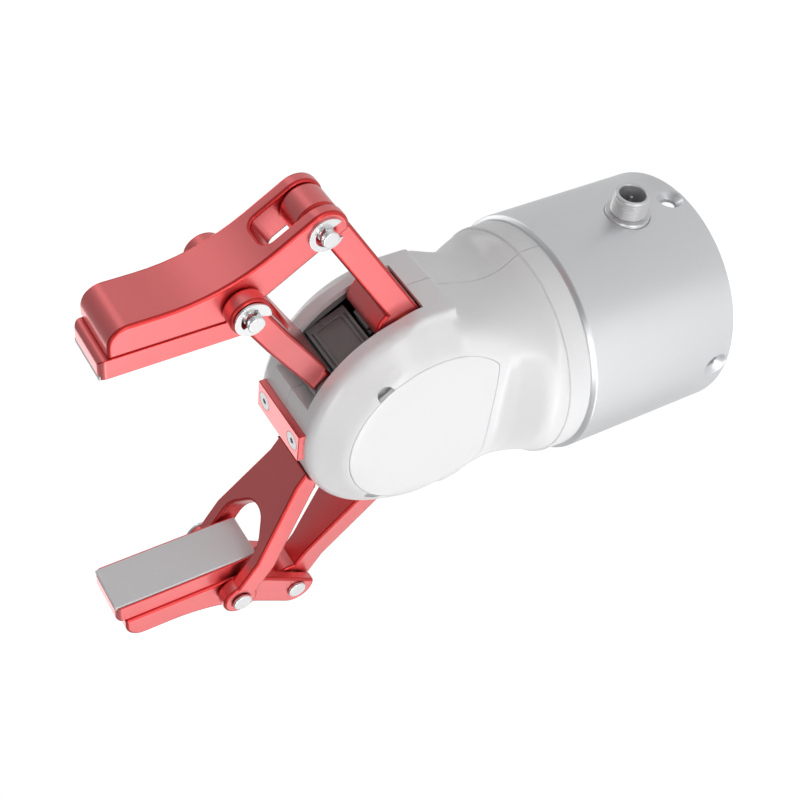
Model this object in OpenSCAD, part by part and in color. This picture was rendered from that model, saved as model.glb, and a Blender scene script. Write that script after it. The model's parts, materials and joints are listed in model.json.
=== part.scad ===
// Two-finger electric gripper with parallelogram fingers.
// Millimetres. The origin is the centre of the robot end of the housing,
// +Z runs along the housing towards the fingertips and the fingers open along X.
// Finger 1 is on the +X side, finger 2 is the same set turned half round the Z axis.

/* [Rear housing] */
// Outside diameter of the aluminium housing
house_d = 80; // [76:1:88]
// Length of the aluminium housing
house_len = 57; // [54:1:64]
// Wall of the housing round the open socket
socket_wall = 3.5; // [3:0.25:4]
// Depth of the open socket
socket_len = 10; // [9:0.5:11]
// Wall of the housing behind the socket
house_wall = 4.5; // [4:0.25:5]
// Height of the four side screws above the robot end
side_screw_z = 5; // [4.5:0.25:5]
// Diameter of the side screw holes
side_hole_d = 4.5; // [4:0.1:5]
// Diameter of the side screw countersinks
side_sink_d = 9; // [7:0.5:9]
// Height of the connector above the robot end
plug_z = 22.6; // [22:0.2:24]

/* [Front housing] */
// Step from the outside of the housing in to the collar
collar_step = 1.7; // [1:0.1:2.5]
// Length of the white collar
collar_len = 7.5; // [7:0.5:9]
// Height of the centre of the head disc above the housing
head_rise = 48; // [46:0.5:50]
// Step from the outside of the housing in to the head disc
head_step = 0.9; // [0:0.1:1.5]
// Width of the head over both side domes
head_w = 50; // [49:0.5:52]
// Wall of the head disc at its rim
rim_wall = 2.1; // [1.8:0.1:2.3]
// Wall of the head disc beside the frames
rim_side = 1.7; // [1.5:0.1:2.5]
// Width of the slot that the links swing in
slot_w = 20; // [19.6:0.1:20.4]
// Distance from the front link pivots in to the end of the slot
slot_reach = 5.1; // [4.9:0.1:5.5]
// Distance from the edge of the head disc to the side covers
cover_inset = 10.3; // [9.6:0.1:12]

/* [Linkage] */
// Distance between the pivots of every link
link_len = 54.5; // [53:0.5:56]
// Angle of the links above the X axis with the gripper open
open_angle = 33.2; // [33:0.1:36]
// Distance from the edge of the head disc to the rear link pivots
rear_inset = 5.4; // [5.1:0.1:5.8]
// Distance from the edge of the head disc to the front link pivots
front_inset = 4.9; // [4.6:0.1:5.2]
// Angle of the rear link pivots above the X axis, seen from the head centre
rear_pivot_angle = 9.2; // [8.8:0.1:9.8]
// Angle of the front link pivots above the X axis, seen from the head centre
front_pivot_angle = 59; // [58.4:0.1:59.6]
// Gap between each grip pad and the gripper axis with the gripper closed
close_gap = 0.2; // [0.1:0.1:2]
// Diameter of the rear axles
rear_axle_d = 6; // [5:0.2:6.4]
// Diameter of the front axles
front_axle_d = 5; // [4:0.2:5.4]
// Diameter of the finger pins
pin_d = 5; // [4:0.2:5.2]

/* [Fingers] */
// Width of the finger base
finger_w = 18.4; // [17.8:0.1:18.5]
// Distance from the front finger pin to the pad face
pad_drop = 12; // [11.6:0.1:12]
// Distance from the front finger pin to the tip
tip_reach = 39.9; // [36:0.5:46]
// Distance from the front finger pin to the rear end of the pad carrier
carrier_tail = 8.6; // [7:0.2:9]
// Width of the slot between the ears of the finger
fork_w = 10.2; // [9.6:0.1:10.4]

/* [Drive] */
// Module of the teeth of the racks and the sectors
tooth_m = 1; // [0.9:0.05:1]
// Teeth that a whole wheel of the sectors' size would have
sector_teeth = 18; // [18:1:18]
// Diameter of the lead screw
screw_d = 9; // [8:0.5:10]
// Room round the gearbox inside the front ledge of the housing
gearbox_room = 8.5; // [8:0.25:10]
// Step from the gearbox in to the motor
motor_step = 0.5; // [0:0.25:3]

/* [Hidden] */
$fn = 64;

// Colours
red = [0.80, 0.20, 0.20];
white = [0.93, 0.93, 0.94];
silver = [0.75, 0.76, 0.78];
dark = [0.30, 0.29, 0.29];
steel = [0.62, 0.63, 0.65];
bronze = [0.72, 0.55, 0.30];
green = [0.10, 0.35, 0.22];

// Overrun of every cut, and the fits
over = 1;
run_gap = 0.05;
free_gap = 0.2;
side_gap = 0.3;
seat_gap = 0.1;

// Main radii and heights
house_r = house_d / 2;
house_bore = house_r - house_wall;
socket_d = house_d - 2 * socket_wall;
collar_r = house_r - collar_step;
collar_top = house_len + collar_len;
head_z = house_len + head_rise;
head_r = house_r - head_step;
cover_r = head_r - cover_inset;

// Places of the pivots and pins, as [x, z]
head_c = [0, head_z];
rear_pivot = head_c + (head_r - rear_inset) * [cos(rear_pivot_angle), sin(rear_pivot_angle)];
front_pivot = head_c + (head_r - front_inset) * [cos(front_pivot_angle), sin(front_pivot_angle)];
pivot_lean = atan2(rear_pivot[0] - front_pivot[0], front_pivot[1] - rear_pivot[1]);
pivot_gap = norm(front_pivot - rear_pivot);
reach = link_len * [cos(open_angle), sin(open_angle)];
rear_pin = rear_pivot + reach;
front_pin = front_pivot + reach;
swing = acos((pad_drop + close_gap - front_pivot[0]) / link_len) - open_angle;

// Housing values
edge_cham = 1.2;
ledge_len = 4;
ledge_w = 9.5;
spigot_len = 4;
ledge_z = house_len - spigot_len - ledge_len;
ledge_r = house_bore - ledge_w;
spigot_r = house_bore - seat_gap;
bulkhead_t = 3;
lug_r = 4;
lug_len = 8;
lug_at = house_bore - lug_r - over;
lug_screw_d = 3;
screw_head_d = 5.5;
screw_head_h = 1.8;
plate_lap = 5;
plate_r = ledge_r + plate_lap;
plate_t = 4;
plate_edge = 2.6;
plate_at = plate_r - plate_edge;
bolt_d = 4;
bolt_head_d = 6.5;
bolt_out = 0.5;
bolt_at = (house_bore + ledge_r) / 2 + bolt_out;

// Connector values
plug_d = 12;
plug_bore_d = 9.2;
flange_d = 14.8;
flange_t = 1.6;
flat_depth = 1;
flat_x = house_r - flat_depth;
plug_out = 8.8;
plug_top = flat_x + plug_out;
plug_tail_d = 10;
plug_tail = 9;
plug_tail_x = flat_x - plug_tail;
insert_out = 2;
insert_face_x = flat_x + insert_out;
plug_pin_d = 1;
plug_pin_circle = 5;
plug_pin_out = 3.5;
plug_pin_tip = insert_face_x + plug_pin_out;
plug_pin_back = 2.5;
plug_pin_tail = plug_tail_x - plug_pin_back;
nut_w = 14;
nut_t = 2.4;
thread_pitch = 1;
thread_depth = 0.45;

// Board values
board_side = 10.5;
board_r = house_bore - board_side;
board_t = 1.6;
board_rise = 2.5;
board_z = socket_len + bulkhead_t + board_rise;
post_r = 2;
post_inset = 4.5;
post_at = board_r - post_inset;
row_inset = 8.5;
row_x = board_r - row_inset;

// Motor values: gearbox and coupling reach up to the rear block, the motor fills the room below
shaft_d = 8;
block_drop = 19;
rear_block_z = head_z - block_drop;
coupling_gap = 1;
coupling_d = 17;
coupling_len = 12;
coupling_z = rear_block_z - coupling_gap - coupling_len;
gearbox_top = coupling_z - coupling_gap;
gearbox_d = 2 * (ledge_r - gearbox_room);
motor_d = gearbox_d - 2 * motor_step;
gearbox_flange_t = 2;
gearbox_z = ledge_z - plate_t - gearbox_flange_t;
encoder_side = 4.5;
encoder_d = 2 * (row_x - encoder_side);
encoder_len = 4;
board_gap = 1.9;
encoder_z = board_z + board_t + board_gap;
motor_len = gearbox_z - encoder_z - encoder_len;
neck_gap = 1;
neck_bore_r = gearbox_d / 2 + neck_gap;

// Front housing values
spin_r = head_r - rim_wall;
rim_round = 1.2;
cover_depth = 3.4;
dome_floor = head_w / 2 - cover_depth;
cover_flat = 8.2;
cover_cut = cover_r - cover_flat;
cover_corner = 3;
cover_gap = 0.15;
notch_r = 2.9;
notch_depth = 1.8;
notch_floor = dome_floor - notch_depth;
notch_angle = 39;
tail_proud = 1;
tail_drop = 8.6;
tail_x = head_r + tail_proud;
tail_z = head_z - tail_drop;
tail_round = 2;
tail_lean = 12;
bridge_w = 2 * (front_pivot[0] - slot_reach);
bridge_t = 5;
clip_w = 10.6;
clip_len = 26;
clip_t = 2.4;
clip_sink = 0.5;
clip_z = head_z + head_r - clip_sink;
clip_screw_y = 8.85;
clip_screw_d = 3;
clip_head_d = 6;
clip_head_h = (clip_head_d - clip_screw_d) / 2;
clip_screw_len = 7;
tie_screw_d = 3;
tie_head_d = 5.6;
tie_head_h = 2.4;
tie_inset = 4.2;
tie_angles = [-29.2, 45, 135, 209.2];
tie_spots = [for (a = tie_angles) (cover_r - tie_inset) * [cos(a), sin(a)]];

// Frame values
frame_t = 3;
frame_in = slot_w / 2 + free_gap;
frame_out = frame_in + frame_t;
hollow_w = 2 * frame_out;
rim_w = hollow_w + 2 * rim_side;
frame_r = spin_r - free_gap;
frame_foot = 2;
frame_foot_z = rear_block_z - frame_foot;
bearing_d = 16;
bearing_bore_d = 8;
bearing_t = 5;
bearing_shelf = 1.5;
block_wall = 1.5;
block_foot = 5;
block_w = bearing_d + 2 * block_foot;
rear_block_t = 8;
front_block_w = bearing_d + 2 * block_wall;
front_block_t = bearing_shelf + bearing_t + block_wall / 3;
frame_screw_d = 2.5;
frame_screw_len = 5;
frame_head_d = 4.4;
block_edge = 0.8;
frame_head_h = 1.2;

// Guard values: the ends of its outer face from the pivots, its wall, panel and tabs
guard_out = 5.66;
guard_down = 1.43;
guard_foot_angle = 110.8;
guard_gap = 0.5;
guard_t = 1.8;
guard_bevel = 1.3;
panel_end = 2.6;
panel_depth = 0.8;
panel_round = 1.2;
slit_w = 0.4;
tab_shares = [0.36, 0.64];
tab_len = 1.5;

// Link values
rear_eye_r = 6.6;
rear_face = 2;
link_side = 0.8;
rear_half = slot_w / 2 - link_side;
rear_eye_half = 4.8;
taper_from = 12;
fork_len = 12.5;
taper_to = link_len - fork_len;
front_eye_r = 6;
front_t = 7.8;
front_half = slot_w / 2 - link_side;
leg_out = 14.8;
leg_in = 10;
boss_in = finger_w / 2 + side_gap;
window_len = 31.3;
window_from = link_len - window_len;
window_splay = 11.8;
window_full = window_from + window_splay;
window_nose = 6;
splay_from = 10;
leg_len = 16;
splay_to = link_len - leg_len;
drum_r = 5.3;
drum_half = frame_in - side_gap;
drum_lip = 8;
drum_lip_t = 0.6;
bush_wall = 1;
bush_flange = frame_in - side_gap - rear_half;
bush_flange_wall = 2;
sector_r = tooth_m * sector_teeth / 2;
sector_outer = sector_r + tooth_m - run_gap;
sector_half = 4;
sector_pocket_r = sector_outer + over;
sector_from = 92;
sector_to = 210;
hub_cover_from = 45;

// The slot in the head starts just behind the hub of the rear link
slot_gap = 0.37;
slot_slant = 1.1;
slot_rear = rear_pivot[1] - sqrt(pow(rear_eye_r + slot_gap, 2) - pow(spin_r - rear_pivot[0], 2));

// Finger values
pad_t = 1.5;
pad_proud = 0.5;
carrier_t = 7.2;
carrier_step = 0.8;
pad_rim = 0.7;
pad_end = 1.2;
tip_round = 2;
lip = 2.6;
base_top = 4.8;
nose_r = 6;
heel_tail = 6.2;
heel_round = 1;
arm_up = 7;
arm_down = 4.2;
arm_bend_r = 58;
fork_depth = 14.5;
fork_corner = 3;
ear_r = arm_up;
ear_steps = 20;
head_d = 6.4;
head_h = 1.2;
clip_out_d = 10.6;
clip_plate = 0.8;
groove_cut = 0.5;
groove_d = pin_d - 2 * groove_cut;
tip_len = 2.2;

// Drive values
tooth_pitch = PI * tooth_m;
root_share = 1.25;
backlash = 0.35;
travel = sector_r * swing * PI / 180;
rack_x = rear_pivot[0] - sector_r;
rack_back = 6.5;
rack_below = 4;
rack_above = 3;
rack_half = 3.8;
hub_side = 1.2;
hub_r = frame_in - hub_side;
hub_gap = 0.58;
hub_len = 12;
hub_low = rear_block_z + rear_block_t + travel + hub_gap;
arm_h = 9;
nut_d = 13;
nut_edge = 0.5;
nut_flange_d = 2 * (hub_r - nut_edge);
nut_flange_t = 2;
front_block_z = hub_low + hub_len + nut_flange_t + side_gap;

// Extrudes a flat [x, z] outline along Y, from y0 to y1
module across(y0, y1) {
    translate([0, y1, 0])
        rotate([90, 0, 0])
            linear_extrude(y1 - y0)
                children();
}

// A round bar along Y at the place p, from y0 to y1
module bar(p, r, y0, y1) {
    translate([p[0], y1, p[1]])
        rotate([90, 0, 0])
            cylinder(r = r, h = y1 - y0);
}

// Puts a part drawn along +X onto a link that starts at the pivot p
module on_link(p) {
    translate([p[0], 0, p[1]])
        rotate([0, -open_angle, 0])
            children();
}

// Turns a part of side 1 into the part of side 2
module side(i) {
    rotate([0, 0, 180 * (i - 1)])
        children();
}

// The corner q of an outline between p and s, rounded with the radius q[2]
function unit(v) = v / norm(v);
function flat(q) = [q[0], q[1]];
half_turn = 180;
function turn(a, b) =
    let (d = b - a)
    d > half_turn ? d - 2 * half_turn : d < -half_turn ? d + 2 * half_turn : d;
function corner(p, q, s, steps = 8) =
    let (
        a = unit(flat(p) - flat(q)),
        b = unit(flat(s) - flat(q)),
        half = acos(a * b) / 2,
        c = flat(q) + unit(a + b) * q[2] / sin(half),
        v = flat(q) + a * q[2] / tan(half) - c,
        w = flat(q) + b * q[2] / tan(half) - c,
        from = atan2(v[1], v[0]),
        sweep = turn(from, atan2(w[1], w[0]))
    )
    q[2] == 0
        ? [flat(q)]
        : [for (i = [0:steps]) c + q[2] * [cos(from + sweep * i / steps), sin(from + sweep * i / steps)]];
function rounded(pts) =
    let (n = len(pts))
    [for (i = [0:n - 1]) each corner(pts[(i + n - 1) % n], pts[i], pts[(i + 1) % n])];

// The aluminium housing: a bored tube with an open socket at the robot end,
// an inner ledge at the front, four lugs for the bulkhead and a flat for the connector
module rear_housing() {
    color(silver)
        difference() {
            union() {
                difference() {
                    rotate_extrude()
                        polygon([
                            [0, 0], [house_r, 0], [house_r, house_len - edge_cham],
                            [house_r - edge_cham, house_len], [0, house_len]
                        ]);
                    translate([0, 0, -over])
                        cylinder(d = socket_d, h = socket_len + over);
                    translate([0, 0, socket_len - over])
                        cylinder(r = house_bore, h = ledge_z - socket_len + over);
                    translate([0, 0, ledge_z - over])
                        cylinder(r = ledge_r, h = ledge_len + 2 * over);
                    translate([0, 0, ledge_z + ledge_len])
                        cylinder(r = house_bore, h = spigot_len + over);
                }
                for (a = [45:90:315])
                    rotate([0, 0, a])
                        bulkhead_lug();
            }
            for (a = [0:90:270])
                rotate([0, 0, a])
                    side_screw_hole();
            for (a = [45:90:315])
                rotate([0, 0, a])
                    translate([lug_at, 0, socket_len])
                        cylinder(d = lug_screw_d, h = bulkhead_t + lug_len + over);
            translate([flat_x, 0, plug_z])
                rotate([0, 90, 0])
                    cylinder(d = flange_d + seat_gap, h = house_r);
            translate([house_bore / 2, 0, plug_z])
                rotate([0, 90, 0])
                    cylinder(d = plug_tail_d + seat_gap, h = house_r);
            ledge_holes(ledge_z, ledge_len, bolt_d);
            plate_holes(ledge_z, ledge_len, lug_screw_d);
        }
}

// A lug on the inside of the housing, with the screw of the bulkhead in it
module bulkhead_lug() {
    difference() {
        translate([lug_at, -lug_r, socket_len + bulkhead_t])
            cube([house_bore - lug_at + seat_gap, 2 * lug_r, lug_len]);
        translate([lug_at, 0, socket_len])
            cylinder(d = lug_screw_d, h = bulkhead_t + lug_len + over);
    }
    translate([lug_at, 0, socket_len + bulkhead_t])
        cylinder(r = lug_r, h = lug_len);
}

// A countersunk hole through the wall of the socket
module side_screw_hole() {
    sink = (side_sink_d - side_hole_d) / 2;
    translate([0, 0, side_screw_z])
        rotate([0, 90, 0])
            cylinder(d = side_hole_d, h = house_r + over);
    translate([house_r - sink, 0, side_screw_z])
        rotate([0, 90, 0])
            cylinder(d1 = side_hole_d, d2 = side_sink_d, h = sink);
    translate([house_r, 0, side_screw_z])
        rotate([0, 90, 0])
            cylinder(d = side_sink_d, h = over);
}

// Four holes at 45 degrees, for the bolts of the front housing
module ledge_holes(z, h, d) {
    for (a = [45:90:315])
        rotate([0, 0, a])
            translate([bolt_at, 0, z - over])
                cylinder(d = d, h = h + 2 * over);
}

// Four holes on the axes, for the screws of the motor plate
module plate_holes(z, h, d) {
    for (a = [0:90:270])
        rotate([0, 0, a])
            translate([plate_at, 0, z - over])
                cylinder(d = d, h = h + 2 * over);
}

// A screw along +Z with its head at the bottom, and a hexagon socket in the head
module cap_screw(d, len, hd, hh) {
    difference() {
        union() {
            translate([0, 0, -hh])
                cylinder(d = hd, h = hh);
            cylinder(d = d, h = len);
        }
        translate([0, 0, -hh - over])
            cylinder(d = hd / 2, h = hh / 2 + over, $fn = 6);
    }
}

// The disc that closes the bottom of the socket and carries the board
module rear_bulkhead() {
    color(silver)
        difference() {
            union() {
                translate([0, 0, socket_len])
                    cylinder(r = house_bore - seat_gap, h = bulkhead_t);
                for (a = [90:120:330])
                    rotate([0, 0, a])
                        translate([post_at, 0, socket_len])
                            cylinder(r = post_r, h = board_z - socket_len);
            }
            for (a = [45:90:315])
                rotate([0, 0, a])
                    translate([lug_at, 0, socket_len - over]) {
                        cylinder(d = lug_screw_d, h = bulkhead_t + 2 * over);
                        cylinder(d = screw_head_d + seat_gap, h = over + screw_head_h);
                    }
        }
}

module bulkhead_screws() {
    color(steel)
        for (a = [45:90:315])
            rotate([0, 0, a])
                translate([lug_at, 0, socket_len + screw_head_h])
                    cap_screw(lug_screw_d, lug_len, screw_head_d, screw_head_h);
}

// The round control board on the three posts
module control_board() {
    color(green)
        translate([0, 0, board_z])
            cylinder(r = board_r, h = board_t);
}

// Drive chips, capacitors and the plug socket that stand on the board
module board_parts() {
    chip_w = 6;
    chip_h = 1.2;
    can_d = 5;
    can_h = 5;
    header_w = 9;
    header_t = 4;
    header_h = 5;
    translate([0, 0, board_z + board_t]) {
        color(dark)
            for (x = [-row_x, row_x], y = [-chip_w, chip_w])
                translate([x - chip_w / 2, y - chip_w / 2, 0])
                    cube([chip_w, chip_w, chip_h]);
        color(steel)
            for (x = [-can_d, 0, can_d])
                translate([x + sign(x) * chip_h, -row_x - can_d / 2, 0])
                    cylinder(d = can_d, h = can_h);
        color(white)
            translate([-header_w / 2, row_x, 0])
                cube([header_w, header_t, header_h]);
    }
}

// The connector sleeve: a flange on the flat of the housing, an outer thread,
// a plain tail through the wall and a bore for the insert
module connector_shell() {
    thread_from = flat_x + flange_t;
    turns = floor((plug_top - thread_from) / thread_pitch) - 1;
    color(steel)
        translate([0, 0, plug_z])
            rotate([0, 90, 0])
                difference() {
                    union() {
                        translate([0, 0, plug_tail_x])
                            cylinder(d = plug_tail_d, h = plug_top - plug_tail_x);
                        translate([0, 0, flat_x])
                            cylinder(d = flange_d, h = flange_t);
                        translate([0, 0, thread_from])
                            cylinder(d = plug_d - 2 * thread_depth, h = plug_top - thread_from);
                        for (i = [0:turns])
                            translate([0, 0, thread_from + thread_pitch * (i + 1) - thread_pitch / 4])
                                cylinder(d = plug_d, h = thread_pitch / 2);
                    }
                    translate([0, 0, plug_tail_x - over])
                        cylinder(d = plug_bore_d, h = plug_top - plug_tail_x + 2 * over);
                }
}

module connector_insert() {
    color(dark)
        translate([plug_tail_x, 0, plug_z])
            rotate([0, 90, 0])
                cylinder(d = plug_bore_d, h = insert_face_x - plug_tail_x);
}

module plug_pin_spots() {
    for (a = [45:90:315])
        rotate([0, 0, a])
            translate([plug_pin_circle / 2, 0, 0])
                children();
}

module connector_pins() {
    color(bronze)
        translate([insert_face_x, 0, plug_z])
            rotate([0, 90, 0])
                plug_pin_spots()
                    cylinder(d = plug_pin_d, h = plug_pin_tip - insert_face_x);
    color(bronze)
        translate([plug_pin_tail, 0, plug_z])
            rotate([0, 90, 0])
                plug_pin_spots()
                    cylinder(d = plug_pin_d, h = plug_tail_x - plug_pin_tail);
}

// The hexagon nut that holds the connector from inside the housing
module connector_nut() {
    seat = sqrt(pow(house_bore, 2) - pow(nut_w / 2, 2));
    color(steel)
        translate([seat - nut_t, 0, plug_z])
            rotate([0, 90, 0])
                difference() {
                    cylinder(d = nut_w, h = nut_t, $fn = 6);
                    translate([0, 0, -over])
                        cylinder(d = plug_tail_d, h = nut_t + 2 * over);
                }
}

module motor() {
    color(dark)
        translate([0, 0, encoder_z + encoder_len])
            difference() {
                cylinder(d = motor_d, h = motor_len);
                for (a = [0:30:330])
                    rotate([0, 0, a])
                        translate([motor_d / 2, 0, over])
                            cylinder(d = 2 * over, h = motor_len - 2 * over);
            }
}

module motor_encoder() {
    color(steel)
        translate([0, 0, encoder_z])
            cylinder(d = encoder_d, h = encoder_len);
}

// The planetary gearbox, with its flange behind the motor plate
module motor_gearbox() {
    color(steel)
        difference() {
            union() {
                translate([0, 0, gearbox_z])
                    cylinder(d = gearbox_d, h = gearbox_top - gearbox_z);
                translate([0, 0, gearbox_z])
                    cylinder(r = plate_at - screw_head_d, h = ledge_z - plate_t - gearbox_z);
            }
            translate([0, 0, gearbox_top - shaft_d])
                cylinder(d = shaft_d + 2 * run_gap, h = shaft_d + over);
        }
}

// The plate that ties the gearbox to the ledge of the housing
module motor_plate() {
    color(silver)
        difference() {
            translate([0, 0, ledge_z - plate_t])
                cylinder(r = plate_r, h = plate_t);
            translate([0, 0, ledge_z - plate_t - over])
                cylinder(d = gearbox_d + 2 * run_gap, h = plate_t + 2 * over);
            plate_holes(ledge_z - plate_t, plate_t, lug_screw_d);
            ledge_holes(ledge_z - plate_t, plate_t, bolt_head_d + seat_gap);
        }
}

module motor_screws() {
    color(steel)
        for (a = [0:90:270])
            rotate([0, 0, a])
                translate([plate_at, 0, ledge_z - plate_t])
                    cap_screw(lug_screw_d, plate_t + ledge_len, screw_head_d, 2 * screw_head_h);
}

// The four bolts that pull the front housing onto the ledge
module housing_bolts() {
    color(steel)
        for (a = [45:90:315])
            rotate([0, 0, a])
                translate([bolt_at, 0, ledge_z])
                    cap_screw(bolt_d, 2 * ledge_len + spigot_len, bolt_head_d, screw_head_h);
}

// Half widths along X and Y of the neck, the power of its rounded section and its
// height, as shares of the collar radius and of the height from collar to head centre
neck_shares = [
    [0.00, 0.988, 0.988, 2.0], [0.05, 0.950, 0.984, 2.0], [0.11, 0.900, 0.970, 2.0],
    [0.18, 0.860, 0.930, 2.1], [0.25, 0.842, 0.845, 2.4], [0.33, 0.838, 0.750, 2.9],
    [0.42, 0.850, 0.675, 3.6], [0.52, 0.878, 0.645, 4.4], [0.64, 0.918, 0.635, 5.2],
    [0.76, 0.955, 0.625, 5.6], [0.86, 0.950, 0.595, 5.4], [0.95, 0.910, 0.540, 5.0]
];
neck_sides = 48;
function bend(v, n) = sign(v) * pow(abs(v), 2 / n);
function neck_ring(s) =
    [for (i = [0:neck_sides - 1])
        let (a = 360 * i / neck_sides)
        [
            collar_r * s[1] * bend(cos(a), s[3]),
            collar_r * s[2] * bend(sin(a), s[3]),
            collar_top + (head_z - collar_top) * s[0]
        ]];

// The smooth neck between the collar and the head
module neck() {
    rings = len(neck_shares);
    points = [for (s = neck_shares) each neck_ring(s)];
    walls = [
        for (r = [0:rings - 2], i = [0:neck_sides - 1])
            let (j = (i + 1) % neck_sides, low = r * neck_sides, high = low + neck_sides)
            [low + i, high + i, high + j, low + j]
    ];
    bottom = [for (i = [0:neck_sides - 1]) i];
    top = [for (i = [0:neck_sides - 1]) rings * neck_sides - 1 - i];
    polyhedron(points, concat(walls, [bottom, top]));
}

// Half of the head's section up to the widest share of its radius,
// as shares of its radius and of its half width
dome_shares = [
    [0.972, 0.635], [0.925, 0.690], [0.875, 0.752], [0.825, 0.822], [0.780, 0.884],
    [0.725, 0.928], [0.620, 0.962], [0.450, 0.986], [0.240, 0.998], [0.000, 1.000]
];
dome_share = 0.85;
module head_section(widest) {
    half = rim_w / 2;
    side = [for (s = dome_shares) if (s[0] < widest) [head_r * s[0], head_w / 2 * s[1]]];
    rim = widest < 1 ? [] : [[head_r, half - rim_round], [head_r - rim_round / 3, half - rim_round / 3]];
    low = [for (p = concat(rim, side)) [p[0], -p[1]]];
    n = len(low);
    polygon(concat([for (i = [0:n - 1]) low[n - 1 - i]], rim, side));
}

// The rim runs straight on below the head centre and ends in a rounded step
module rim_tails() {
    across(-rim_w / 2, rim_w / 2)
        polygon(rounded([
            [tail_x, tail_z, tail_round], [tail_x, head_z, 3 * tail_round],
            [head_r * cos(tail_lean), head_z + head_r * sin(tail_lean), 0],
            [-head_r * cos(tail_lean), head_z + head_r * sin(tail_lean), 0],
            [-tail_x, head_z, 3 * tail_round], [-tail_x, tail_z, tail_round]
        ]));
}

// The outer form of the white housing
module head_form() {
    rim_tails();
    difference() {
        translate([0, 0, head_z])
            rotate([90, 0, 0])
                rotate_extrude()
                    head_section(1);
        translate([-house_d, -house_d, 0])
            cube([2 * house_d, 2 * house_d, tail_z + tail_round]);
    }
    translate([0, 0, head_z])
        rotate([90, 0, 0])
            rotate_extrude()
                head_section(dome_share);
    neck();
    translate([0, 0, house_len])
        cylinder(r = collar_r, h = collar_len);
    translate([0, 0, ledge_z + ledge_len])
        cylinder(r = spigot_r, h = spigot_len + over);
}

// Outline of a side cover: a disc cut straight at the neck
module cover_outline(grow) {
    r = cover_r + grow;
    cut = cover_cut + grow;
    edge = cover_corner + grow;
    lean = asin((cut - edge) / (r - edge));
    at = (r - edge) * cos(lean);
    translate([0, head_z])
        union() {
            intersection() {
                circle(r = r);
                translate([-r, -r * sin(lean)])
                    square(2 * r);
            }
            polygon([
                [-at, -cut], [at, -cut], [r * cos(lean), -r * sin(lean)], [-r * cos(lean), -r * sin(lean)]
            ]);
            for (x = [-at, at])
                translate([x, edge - cut])
                    circle(r = edge);
        }
}

module tie_spots() {
    for (p = tie_spots)
        translate([p[0], 0, head_z + p[1]])
            rotate([90, 0, 0])
                children();
}

// Everything that is taken out of the white housing
module housing_hollow() {
    across(-hollow_w / 2, hollow_w / 2)
        translate(head_c)
            circle(r = spin_r);
    translate([0, 0, ledge_z])
        cylinder(r = neck_bore_r, h = head_z - ledge_z);
    for (i = [1, 2])
        side(i)
            across(-slot_w / 2, slot_w / 2)
                polygon([
                    [bridge_w / 2, slot_rear], [spin_r, slot_rear],
                    [head_r, slot_rear + slot_slant], [2 * head_r, slot_rear + slot_slant],
                    [2 * head_r, head_z + 2 * head_r], [bridge_w / 2, head_z + 2 * head_r]
                ]);
    ledge_holes(ledge_z + ledge_len, spigot_len + ledge_len, bolt_d);
    translate([-clip_w / 2, -clip_len / 2, clip_z])
        cube([clip_w, clip_len, head_r]);
    for (y = [-clip_screw_y, clip_screw_y])
        translate([0, y, clip_z - clip_screw_len])
            cylinder(d = clip_screw_d, h = clip_screw_len + over);
    for (m = [0, 1])
        mirror([0, m, 0])
            union() {
                across(dome_floor, head_w)
                    cover_outline(cover_gap);
                for (a = [notch_angle, 180 - notch_angle])
                    bar(head_c + cover_r * [cos(a), sin(a)], notch_r, notch_floor, head_w);
            }
    tie_spots() {
        translate([0, 0, -head_w / 2])
            cylinder(d = tie_screw_d, h = head_w);
        for (m = [0, 1])
            mirror([0, 0, m])
                translate([0, 0, dome_floor - tie_head_h])
                    cylinder(d = tie_head_d + seat_gap, h = head_w);
    }
}

// The bridge across the front of the slot, which the clip is screwed to
module bridge_block() {
    across(-slot_w / 2, slot_w / 2)
        intersection() {
            difference() {
                translate(head_c)
                    circle(r = spin_r + rim_wall / 2);
                translate(head_c)
                    circle(r = head_r - bridge_t);
            }
            translate([-bridge_w / 2, head_z])
                square([bridge_w, head_r]);
        }
}

module housing_whole() {
    difference() {
        union() {
            difference() {
                head_form();
                housing_hollow();
            }
            bridge_block();
        }
        translate([-clip_w / 2, -clip_len / 2, clip_z])
            cube([clip_w, clip_len, head_r]);
        for (y = [-clip_screw_y, clip_screw_y])
            translate([0, y, clip_z - clip_screw_len])
                cylinder(d = clip_screw_d, h = clip_screw_len + over);
    }
}

// One half of the white housing: near is the -Y half, far the +Y half
module housing_half(far) {
    color(white)
        intersection() {
            housing_whole();
            translate([-house_d, far ? 0 : -house_d, 0])
                cube([2 * house_d, house_d, 2 * head_z]);
        }
}

module front_housing_near() {
    housing_half(false);
}

module front_housing_far() {
    housing_half(true);
}

// A side cover lies in its recess, flush with the dome round it
module side_cover_near() {
    color(white)
        intersection() {
            head_form();
            mirror([0, 1, 0])
                across(dome_floor, head_w)
                    cover_outline(0);
        }
}

module side_cover_far() {
    mirror([0, 1, 0])
        side_cover_near();
}

// The screws under the covers that hold both halves to the frames
module housing_screws() {
    tie_len = dome_floor - tie_head_h - frame_in;
    color(steel)
        for (m = [0, 1])
            mirror([0, m, 0])
                for (p = tie_spots)
                    translate([p[0], tie_head_h - dome_floor, head_z + p[1]])
                        rotate([-90, 0, 0])
                            cap_screw(tie_screw_d, tie_len, tie_head_d, tie_head_h);
}

// The red clip over the seam of the two halves
module front_clip() {
    color(red)
        difference() {
            translate([-clip_w / 2, -clip_len / 2, clip_z])
                cube([clip_w, clip_len, clip_t]);
            for (y = [-clip_screw_y, clip_screw_y])
                translate([0, y, clip_z - over]) {
                    cylinder(d = clip_screw_d, h = clip_t + 2 * over);
                    translate([0, 0, over + clip_t - clip_head_h])
                        cylinder(d1 = clip_screw_d, d2 = clip_head_d, h = clip_head_h);
                }
        }
}

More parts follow.
